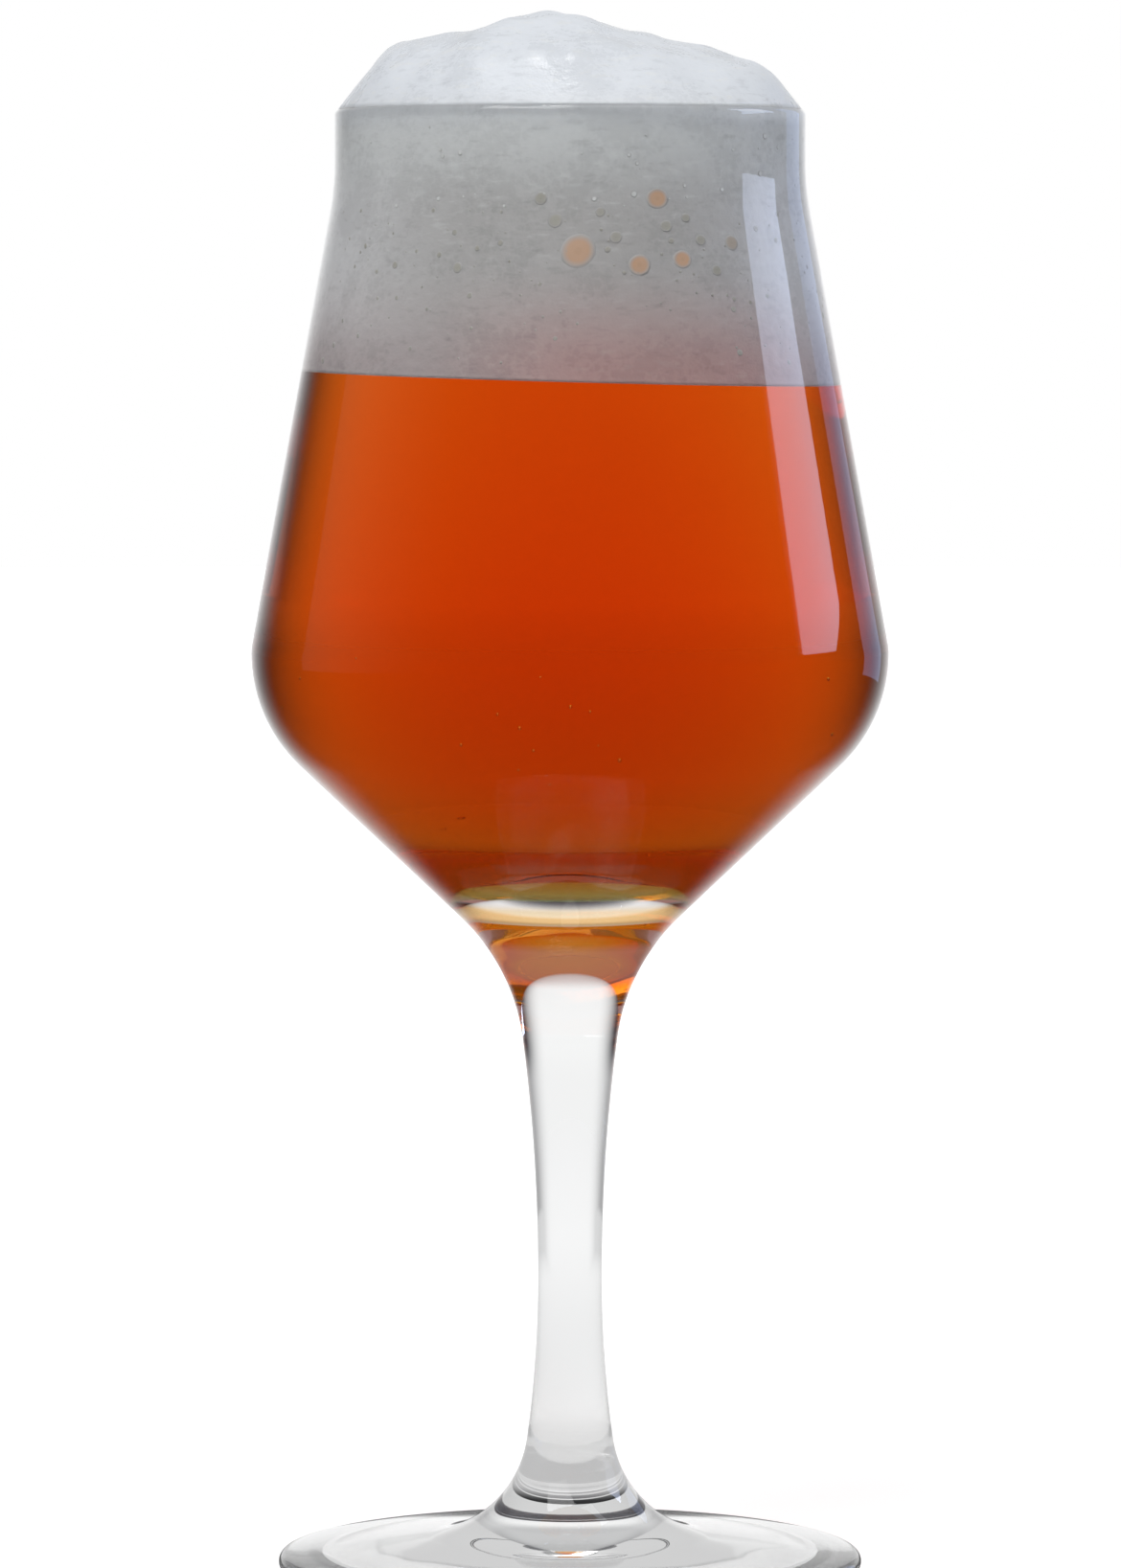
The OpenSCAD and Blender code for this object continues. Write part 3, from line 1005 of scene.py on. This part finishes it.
class TULIP_OT_beads(bpy.types.Operator):
    """Adds the small beads of gas that hang in the beer"""

    bl_idname = "tulip.beads"
    bl_label = "Gas beads"

    back_count = 24
    rows = 8
    sides = 12

    def execute(self, context):
        glass, drink = sizes()
        shape = glass_shape(glass)
        inner = cavity_low(glass, shape, drink.bead_d) + cavity_lip(glass, shape, drink.bead_d)
        chance = random.Random(5)
        places = list(BEAD_SHARES)
        for _ in range(self.back_count):
            places.append((chance.uniform(0.3, 1.7), chance.uniform(0.86, 1.0)))
        stacks = []
        for turn, share in places:
            height = share * glass.belly_z
            wall = radius_at(inner, height)
            around = math.pi * turn - math.pi / 2
            middle = Vector((wall * math.cos(around), wall * math.sin(around), height))
            radius = drink.bead_d / 2 * chance.uniform(0.55, 1.0)
            stack = [[middle - Vector((0, 0, radius))]]
            for row in range(1, self.rows):
                lean = math.pi * row / self.rows - math.pi / 2
                ring = level_ring(radius * math.cos(lean), radius * math.sin(lean), self.sides)
                stack.append([middle + point for point in ring])
            stack.append([middle + Vector((0, 0, radius))])
            stacks.append(stack)
        mesh = ring_mesh("beer_beads", stacks)
        add_piece(mesh, (shared_material("gas_bead", bead_material),))
        return {"FINISHED"}


def back_light_group(name):
    """How much of the white backdrop a direction meets, through the glass and mirrored in it."""
    inputs = (("Direction", "Vector", (0.0, 1.0, 0.0)),)
    titles = ("Through", "Mirrored", "Front", "Raised", "High")
    tree, given, result = fresh_group(name, inputs, [(title, "Float") for title in titles])
    parts = node(tree, "SeparateXYZ", {0: given["Direction"]}).outputs
    turn = maths("ARCTAN2", maths("ABSOLUTE", parts["X"]), parts["Y"])
    feed(span_map(turn, math.radians(22), math.radians(62), 1.0, 0.0), result["Through"])
    feed(span_map(turn, math.radians(10), math.radians(46), 1.0, 0.0), result["Mirrored"])
    feed(span_map(turn, math.radians(70), math.radians(110)), result["Front"])
    feed(span_map(parts["Z"], 0.08, 0.3), result["Raised"])
    feed(span_map(parts["Z"], 0.5, 0.85), result["High"])
    return tree


def around(turn, distance, height):
    """A place on the stage at a turn to the right from the front, in degrees."""
    return (distance * math.sin(math.radians(turn)), -distance * math.cos(math.radians(turn)), height)


# Kinds of light that a lamp is left out of if only its reflection is to show
MIRRORED_ONLY = ("diffuse", "transmission")
# Lamps: name, place, height of the point on the axis that it is aimed at, width and height, radiance, tint,
# and the kinds of light that it is left out of
LAMPS = (
    ("key_lamp", around(-30, 0.72, 1.25), 0.2, (0.8, 0.8), 3.6, WHITE, ()),
    ("top_lamp", (0.25, 0.0, 1.4), 0.2, (0.7, 0.7), 1.2, WHITE, ()),
    ("fill_lamp", around(50, 1.1, 0.5), 0.2, (0.6, 0.8), 0.8, WHITE, ("glossy", "transmission")),
    ("strip_lamp", around(104.5, 1.0, 0.574), 0.574, (0.46, 0.6), 3.1, (0.66, 0.75, 1.0), ("diffuse",)),
    ("window", around(-78, 1.0, 0.25), 0.25, (1.3, 0.5), 0.13, WHITE, ("diffuse",)),
    ("edge_lamp", around(140, 1.0, 0.35), 0.35, (0.34, 0.7), 0.7, (0.42, 0.58, 1.0), MIRRORED_ONLY),
    ("left_glint", (-0.34, 0.1, 1.3), 0.2, (0.13, 0.13), 20.0, WHITE, MIRRORED_ONLY),
    ("right_glint", (-0.06, 0.1, 1.3), 0.2, (0.13, 0.13), 20.0, WHITE, MIRRORED_ONLY),
)


class TULIP_OT_stage(bpy.types.Operator):
    """Sets the floor, the light of the room, the lamps and the camera"""

    bl_idname = "tulip.stage"
    bl_label = "Stage"

    def seen_share(self, tree, way, rays):
        """How white a direction looks in and through the glass, and the other shares of the direction."""
        back_light = shared_group("backdrop_share", back_light_group)
        shares = node(tree, "Group", {"Direction": way}, node_tree=back_light).outputs
        values = {0: rays["Is Transmission Ray"], 2: shares["Mirrored"], 3: shares["Through"]}
        return node(tree, "Mix", values).outputs[0], shares

    def light_world(self, stage):
        """A white backdrop behind the glass, between dark flags, in a room of plain light."""
        world = bpy.data.worlds.new("studio")
        bpy.context.scene.world = world
        world.use_nodes = True
        tree = world.node_tree
        tree.nodes.clear()
        rays = node(tree, "LightPath").outputs
        way = node(tree, "TexCoord").outputs["Generated"]
        share, shares = self.seen_share(tree, way, rays)
        flags = blend(rays["Is Transmission Ray"], stage.front, stage.side)
        mirrored = is_over(rays["Glossy Depth"], 0.5)
        dimmed = times(shares["Raised"], mirrored, 0.45)
        share = times(share, less(1.0, dimmed))
        unturned = less(rays["Is Transmission Ray"], mirrored)
        share = most(share, times(shares["Front"], unturned))
        shown = blend(share, flags, stage.white)
        shown = blend(shares["High"], shown, stage.ceiling)
        room = blend(shares["Front"], stage.room_back, stage.room)
        shown = blend(is_over(rays["Diffuse Depth"], 0.5), shown, room)
        shown = blend(rays["Is Camera Ray"], shown, stage.white)
        node(tree, "OutputWorld", {"Surface": shader(tree, "Background", {"Color": shown, "Strength": 1.0})})

    def floor_material(self, tree, stage):
        """A pale floor that is white to the eye, as bright as the backdrop, and keeps the shadow. In the
        glass it has painted shade close to the glass.
        """
        rays = node(tree, "LightPath").outputs
        place = node(tree, "TexCoord").outputs["Object"]
        fibres = times(grain(place, 400.0, 4.0), 0.05)
        pale = blend(fibres, stage.floor_tone, (0.7, 0.7, 0.7))
        distance = node(tree, "VectorMath", {0: place}, operation="LENGTH").outputs["Value"]

        # How white each place on it shows in the glass, with painted shade close to the glass
        share, shares = self.seen_share(tree, place, rays)
        direct = is_under(rays["Glossy Depth"], 0.5)
        # Painted shade: the floor close to the glass shows dark where the glass mirrors it
        far = most(direct, span_map(distance, 0.08, 0.2))
        thin = is_under(rays["Transmission Depth"], 2.5)
        thin = times(thin, span_map(distance, 0.7, 0.95, 0.6, 0.0))
        near = span_map(distance, 0.3, 0.6, 1.0, 0.0)
        close = most(thin, near, times(shares["Front"], 0.75))
        close = times(direct, close)
        share = most(close, times(share, far))
        # Painted shade: the floor dims close to the glass in what the glass shows, as a contact shadow
        share = times(share, span_map(distance, 0.15, 0.5, 0.87, 1.0))

        glassy = most(rays["Is Glossy Ray"], rays["Is Transmission Ray"])
        in_glass = times(glassy, is_under(rays["Diffuse Depth"], 0.5))
        flags = blend(rays["Is Transmission Ray"], stage.front, stage.side)
        mirrored = blend(share, flags, (0.25, 0.25, 0.25))
        matt = shader(tree, "BsdfDiffuse", {"Color": blend(in_glass, pale, mirrored)})
        seen = times(rays["Is Camera Ray"], span_map(distance, 0.1, 0.6, 0.38, 0.8))
        strength = plus(seen, times(in_glass, share, 0.85))
        glow = shader(tree, "Emission", {"Color": stage.white, "Strength": strength})
        return {"Surface": shader(tree, "AddShader", {0: matt, 1: glow})}

    def lay_floor(self, stage):
        """A round floor under the glass."""
        rings = (1.0, 0.2, 0.05, 0.0)
        outline = [Vector((stage.floor_r * share, 0.0)) for share in rings]
        mesh = turned("studio_floor", outline, [0] * (len(rings) - 1), count=96)
        mesh.materials.append(shared_material("pale_floor", self.floor_material, stage))
        floor = bpy.data.objects.new("studio_floor", mesh)
        bpy.context.scene.collection.objects.link(floor)

    def hang_lamp(self, name, place, aim_z, size, radiance, tint, left_out):
        """A soft lamp of a size and a radiance, aimed at the axis."""
        lamp = bpy.data.lights.new(name, "AREA")
        lamp.shape = "RECTANGLE"
        lamp.size, lamp.size_y = size
        lamp.energy = radiance * math.pi * size[0] * size[1]
        lamp.color = tint
        holder = bpy.data.objects.new(name, lamp)
        holder.location = place
        holder.rotation_euler = (Vector((0, 0, aim_z)) - Vector(place)).to_track_quat("-Z", "Y").to_euler()
        for kind in ("camera", *left_out):
            setattr(holder, "visible_" + kind, False)
        bpy.context.scene.collection.objects.link(holder)
        return holder

    def fade_lamp(self, holder, axis, start, stop):
        """Lets a lamp's strength run from one value to another across its width, X, or up its height, Y."""
        lamp = holder.data
        lamp.use_nodes = True
        tree = lamp.node_tree
        tree.nodes.clear()
        spot = node(tree, "NewGeometry").outputs["Parametric"]
        along = node(tree, "SeparateXYZ", {0: spot}).outputs[axis]
        strength = span_map(along, 0.0, 1.0, start, stop)
        glow = shader(tree, "Emission", {"Color": WHITE, "Strength": strength})
        node(tree, "OutputLight", {"Surface": glow})

    def set_camera(self, stage):
        """A camera with a long lens, a little left of the axis."""
        camera = bpy.data.cameras.new("camera")
        camera.lens = stage.lens
        camera.sensor_width = 36.0
        camera.clip_start = 0.01
        eye = bpy.data.objects.new("camera", camera)
        eye.location = (-stage.eye_x, -stage.eye_y, stage.eye_z)
        aim = Vector((-stage.eye_x, 0, stage.aim_z))
        eye.rotation_euler = (aim - eye.location).to_track_quat("-Z", "Y").to_euler()
        bpy.context.scene.collection.objects.link(eye)
        bpy.context.scene.camera = eye

    def execute(self, context):
        stage = context.scene.tulip_stage
        context.scene.view_settings.view_transform = "Standard"
        self.light_world(stage)
        self.lay_floor(stage)
        lamps = {row[0]: self.hang_lamp(*row) for row in LAMPS}
        self.fade_lamp(lamps["strip_lamp"], "Y", 1.0, 2.0)
        self.fade_lamp(lamps["window"], "X", 1.0, 0.0)
        self.set_camera(stage)
        return {"FINISHED"}


GROUPS = {"tulip_glass": GlassSizes, "tulip_drink": DrinkSizes, "tulip_stage": StageSizes}
OPERATORS = (
    TULIP_OT_bowl,
    TULIP_OT_stem,
    TULIP_OT_foot,
    TULIP_OT_beer,
    TULIP_OT_foam,
    TULIP_OT_bubbles,
    TULIP_OT_beads,
    TULIP_OT_stage,
)


class VIEW3D_PT_tulip_glass(bpy.types.Panel):
    """Lists the pieces of the glass and their sizes"""

    bl_idname = "VIEW3D_PT_tulip_glass"
    bl_label = "Tulip glass"
    bl_space_type = "VIEW_3D"
    bl_region_type = "UI"
    bl_category = "Tulip glass"

    def draw(self, context):
        layout = self.layout
        for maker in OPERATORS:
            layout.operator(maker.bl_idname)
        for title, kind in GROUPS.items():
            box = layout.box()
            for name in kind.__annotations__:
                box.prop(getattr(context.scene, title), name)


CLASSES = (*GROUPS.values(), *OPERATORS, VIEW3D_PT_tulip_glass)


def register():
    """Adds the operators, the sizes and the panel."""
    for each in CLASSES:
        bpy.utils.register_class(each)
    for title, kind in GROUPS.items():
        setattr(bpy.types.Scene, title, bpy.props.PointerProperty(type=kind))


def unregister():
    """Takes them away again."""
    for title in GROUPS:
        delattr(bpy.types.Scene, title)
    for each in reversed(CLASSES):
        bpy.utils.unregister_class(each)


def main():
    """Builds the glass on its stage."""
    register()
    bpy.ops.tulip.bowl()
    bpy.ops.tulip.stem()
    bpy.ops.tulip.foot()
    bpy.ops.tulip.beer()
    bpy.ops.tulip.foam()
    bpy.ops.tulip.bubbles()
    bpy.ops.tulip.beads()
    bpy.ops.tulip.stage()


if __name__ == "__main__":
    main()
